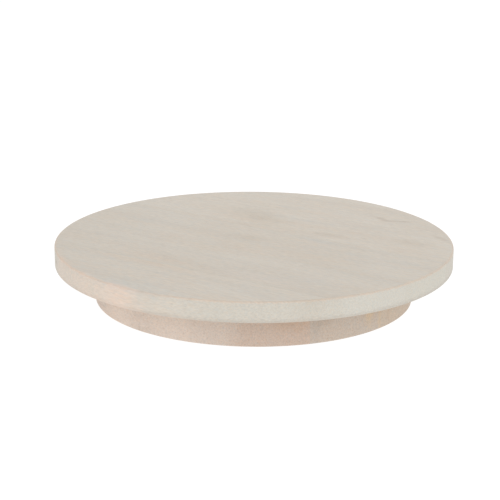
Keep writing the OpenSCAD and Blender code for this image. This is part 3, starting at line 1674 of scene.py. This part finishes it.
# The second tint below is painted light: it lightens the left of the base's side, where more light
# falls.
PINK, PAINTED_LIGHT = tint(244, 215, 196), tint(240, 221, 205)
HONEY, UMBER, CHALK = tint(222, 193, 152), tint(174, 157, 142), tint(222, 212, 202)
TOP_HEIGHT, RIM_HEIGHT, MARK_DEPTH = 37, 31, 3
HEAD_RADIUS, BASE_RADIUS = 125, 100


def top_mark(
    at: tuple[float, float], half_size: tuple[float, float], color: Color, amount: float,
    turn: float = Turntable.head_grain,
) -> Mark:
    """A mark on the head's top face.

    Args:
        at: Where it is, in millimetres.
        half_size: How far it reaches along and across itself, in millimetres.
        color: Its colour.
        amount: How strongly it shows.
        turn: Its direction in degrees, which is the grain's unless it is given.

    Returns:
        The mark.
    """
    return Mark((*at, TOP_HEIGHT), (*half_size, MARK_DEPTH), turn, color, amount)


def rim_mark(degrees: float, half_size: Triple, color: Color, amount: float) -> Mark:
    """A mark on the head's rim, at an angle round it."""
    return edge_mark(HEAD_RADIUS, degrees, RIM_HEIGHT, half_size, color, amount)


def side_mark(
    degrees: float, height: float, half_size: Triple, color: Color, amount: float
) -> Mark:
    """A mark on the base's side, at an angle round it and a height in millimetres."""
    return edge_mark(BASE_RADIUS, degrees, height, half_size, color, amount)


def head_finishes() -> list[LimedWood]:
    """The finishes of the head.

    Returns:
        Those of its staves, from the front left to the back right.
    """
    inner_wash = tint(215, 207, 195)
    return [
        LimedWood(seed=1.3, marks=(
            top_mark((-75, -99), (36, 15), BLUISH, 0.35),
            top_mark((-64, -51), (40, 6), GLOW, 0.3),
            top_mark((18, -112), (32, 13), SMUDGE, 0.11),
            rim_mark(203, (3, 20, 25), PINK, 0.26),
            rim_mark(217, (3, 20, 25), PINK, 0.32),
            rim_mark(231, (3, 19, 25), PINK, 0.45),
            rim_mark(195, (3, 3, 2), STAIN, 0.6),
            rim_mark(285, (3, 9, 25), SMUDGE, 0.14),
        )),
        LimedWood(seed=2.1, wash=inner_wash, end_tint=tint(211, 208, 198), marks=(
            top_mark((34, -86), (18, 5), BLUISH, 0.3),
            top_mark((2, -80), (28, 8), CHALK, 0.28),
            top_mark((62, -77), (24, 10), SMUDGE, 0.07),
            rim_mark(291, (3, 7, 25), SMUDGE, 0.16),
            top_mark((-60, -40), (40, 6), GLOW, 0.25),
        )),
        LimedWood(seed=3.7, wash=inner_wash, end_tint=tint(210, 207, 196), marks=(
            top_mark((-4, 5), (14, 8), SMUDGE, 0.18),
            top_mark((44, -4), (16, 4), BLUISH, 0.35),
            top_mark((-69, 48), (24, 6), BLUISH, 0.3),
            top_mark((0, -26), (24, 5), GLOW, 0.25),
            top_mark((-52, 10), (16, 4), GLOW, 0.25),
        )),
        LimedWood(seed=4.2, marks=(
            top_mark((4, 58), (27, 12), SMUDGE, 0.3, turn=-60),
            top_mark((49, 13), (12, 5), STAIN, 0.22),
            top_mark((100, -5), (14, 7), SMUDGE, 0.25),
            top_mark((119, 6), (10, 2.5), STAIN, 0.25, turn=-65),
            top_mark((-10, 54), (24, 4), GLOW, 0.25),
            top_mark((91, -20), (18, 5), GLOW, 0.25),
        )),
        LimedWood(seed=5.9, cool=0.13, warm=0.14, marks=(
            top_mark((84.5, 53), (9, 2.2), STAIN, 0.3, turn=-56),
            top_mark((95, 47), (12, 2.0), STAIN, 0.32, turn=-8),
            top_mark((25, 80), (12, 4), BLUISH, 0.3),
        )),
    ]


def base_finishes() -> list[LimedWood]:
    """The finishes of the base.

    Returns:
        Those of its staves, from the left to the right.
    """

    def limed(seed: float, wash: Color, grit: float, *marks: Mark) -> LimedWood:
        """The finish of a stave of the base, which shows its side and not its face.

        Args:
            seed: Picks the piece of plank that it was cut from.
            wash: The colour of the white wash.
            grit: How uneven the finest fibres are.
            marks: Single marks in the wood.

        Returns:
            The finish.
        """
        return LimedWood(
            seed, wash, wood=tint(204, 170, 144), end_tint=wash, fleck=tint(158, 116, 84),
            flecks=0.22, pores=0.2, grit=grit, marks=marks, ends=0.0, thin=0.25, dusty=0.0,
            worn=0.3,
        )

    return [
        limed(11.3, tint(213, 198, 186), 0.32,
              # These two pale marks are painted light on the left of the side, where more light
              # falls.
              side_mark(240, 9, (5, 22, 30), PAINTED_LIGHT, 0.34),
              side_mark(215, 9, (5, 22, 30), PAINTED_LIGHT, 0.46)),
        limed(12.1, tint(204, 184, 169), 0.42,
              side_mark(258, 9, (5, 11, 30), CHALK, 0.42),
              # Broad band high on the side: painted shade under the head's overhang.
              side_mark(284, 17, (5, 16, 7), RUST_AND_SHADE, 0.3)),
        limed(13.7, tint(202, 188, 174), 0.42,
              side_mark(291, 12, (5, 4, 12), SLATE, 0.35),
              side_mark(293, 17, (5, 9, 6), UMBER, 0.3),
              side_mark(313, 14, (5, 4, 9), HONEY, 0.5),
              side_mark(319, 10, (5, 2.5, 12), HONEY, 0.45),
              # Broad band high on the side: painted shade under the head's overhang.
              side_mark(315, 16, (5, 12, 6), RUST_AND_SHADE, 0.18)),
        limed(14.2, tint(205, 189, 171), 0.38,
              side_mark(324, 15, (5, 1.6, 9), RUST_AND_SHADE, 0.3),
              # Broad band high on the side: painted shade under the head's overhang.
              side_mark(330, 17, (5, 10, 6), RUST_AND_SHADE, 0.2)),
    ]


# ------------------------------------------------------------------ studio


@dataclass
class Studio:
    """The floor, the lights and the camera.

    Attributes:
        elevation: How far the camera looks down, in degrees.
        roll: How far it is turned about its own line of sight, in degrees.
        distance: From the camera to the point that it aims at.
        lens: Its focal length in millimetres on a 36 mm sensor.
        aim_left: How far left of the head's middle it aims.
        aim_down: How far below the head's top face it aims.
        floor_size: Side of the floor.
        floor_shift: How far its middle lies to the side, so that no seam of it is under the board.
        floor_paper: How much light the floor throws back.
        floor_glow: How brightly it shines itself.
        sky: How bright the soft light all round is.
        wall: How bright the room looks behind the floor.
    """

    elevation: float = 16.3
    roll: float = 0.42
    distance: float = 1.0
    lens: float = 114.21
    aim_left: float = 2.5 * MM
    aim_down: float = 6.3 * MM
    floor_size: float = 30.0
    floor_shift: float = 4.0
    floor_paper: float = 0.14
    floor_glow: float = 0.94
    sky: float = 0.78
    wall: float = 1.05

    def floor(self) -> None:
        """Lays a pale floor, lit from beneath as a light table is, and clear from below."""
        deselect_all()
        bpy.ops.mesh.primitive_plane_add(size=self.floor_size, location=(self.floor_shift, 0, 0))
        floor = bpy.context.object
        floor.name = "studio_floor"
        material, sheet, shader = new_material("studio_paper")
        shader.inputs["Base Color"].default_value = (self.floor_paper,) * 3 + (1.0,)
        shader.inputs["Emission Color"].default_value = WHITE
        shader.inputs["Emission Strength"].default_value = self.floor_glow
        shader.inputs["Roughness"].default_value = 0.9
        shader.inputs["Specular IOR Level"].default_value = 0.0
        below = sheet.add("ShaderNodeNewGeometry", {}).outputs["Backfacing"]
        clear = sheet.add("ShaderNodeBsdfTransparent", {}).outputs[0]
        both = sheet.add("ShaderNodeMixShader", {0: below, 1: shader.outputs[0], 2: clear})
        sheet.feed(sheet.tree.nodes["Material Output"].inputs["Surface"], both.outputs[0])
        floor.data.materials.append(material)

    def air(self) -> None:
        """Fills the room with even soft light, and leaves its walls white."""
        world = bpy.data.worlds.new("studio_air")
        world.use_nodes = True
        sheet = Sheet(world.node_tree)
        soft = world.node_tree.nodes["Background"]
        soft.inputs["Color"].default_value = WHITE
        soft.inputs["Strength"].default_value = self.sky
        wall = sheet.add("ShaderNodeBackground", {"Color": WHITE, "Strength": self.wall})
        seen = sheet.add("ShaderNodeLightPath", {}).outputs["Is Camera Ray"]
        shaders = {0: seen, 1: soft.outputs[0], 2: wall.outputs[0]}
        both = sheet.add("ShaderNodeMixShader", shaders).outputs[0]
        sheet.feed(world.node_tree.nodes["World Output"].inputs["Surface"], both)
        bpy.context.scene.world = world

    def lamp(
        self, name: str, place: Sequence[float], target: Sequence[float], size: float, power: float
    ) -> None:
        """Hangs a large square soft light.

        Args:
            name: Its name.
            place: Where it hangs.
            target: What it shines at.
            size: Its side.
            power: Its power in watts.
        """
        light = bpy.data.lights.new(name, "AREA")
        light.size = size
        light.energy = power
        lamp = bpy.data.objects.new(name, light)
        lamp.location = place
        lamp.rotation_euler = (Vector(target) - Vector(place)).to_track_quat("-Z", "Y").to_euler()
        lamp.visible_camera = False
        bpy.context.scene.collection.objects.link(lamp)

    def camera(self, top: float) -> None:
        """Sets the camera up in front.

        Args:
            top: Height of the head's top face.
        """
        tilt = math.radians(self.elevation)
        right = Vector((1.0, 0.0, 0.0))
        up = Vector((0.0, math.sin(tilt), math.cos(tilt)))
        forward = Vector((0.0, math.cos(tilt), -math.sin(tilt)))
        aim = Vector((0.0, 0.0, top)) - right * self.aim_left - up * self.aim_down
        data = bpy.data.cameras.new("studio_camera")
        data.sensor_width = 36.0
        data.lens = self.lens
        data.dof.use_dof = False
        camera = bpy.data.objects.new("studio_camera", data)
        camera.matrix_world = forward.to_track_quat("-Z", "Y").to_matrix().to_4x4()
        camera.rotation_euler.rotate_axis("Z", math.radians(self.roll))
        camera.location = aim - forward * self.distance
        bpy.context.scene.collection.objects.link(camera)
        bpy.context.scene.camera = camera

    def build(self, top: float) -> None:
        """Sets up the floor, the lights and the camera.

        Args:
            top: Height of the head's top face.
        """
        self.floor()
        self.air()
        self.lamp("back_softbox", (0.1, 0.75, 0.55), (0.0, 0.1, 0.0), 0.6, 0.9)
        self.lamp("front_softbox", (0.25, -1.8, 1.15), (0.0, 0.0, 0.02), 1.0, 5.5)
        bpy.context.scene.view_settings.view_transform = "Standard"
        self.camera(top)


def main() -> None:
    """Builds the turntable and the studio round it."""
    logging.basicConfig(level=logging.INFO, format="%(name)s %(message)s")
    Turntable().build()
    Studio().build(CAD_BOX[1].z)


if __name__ == "__main__":
    main()
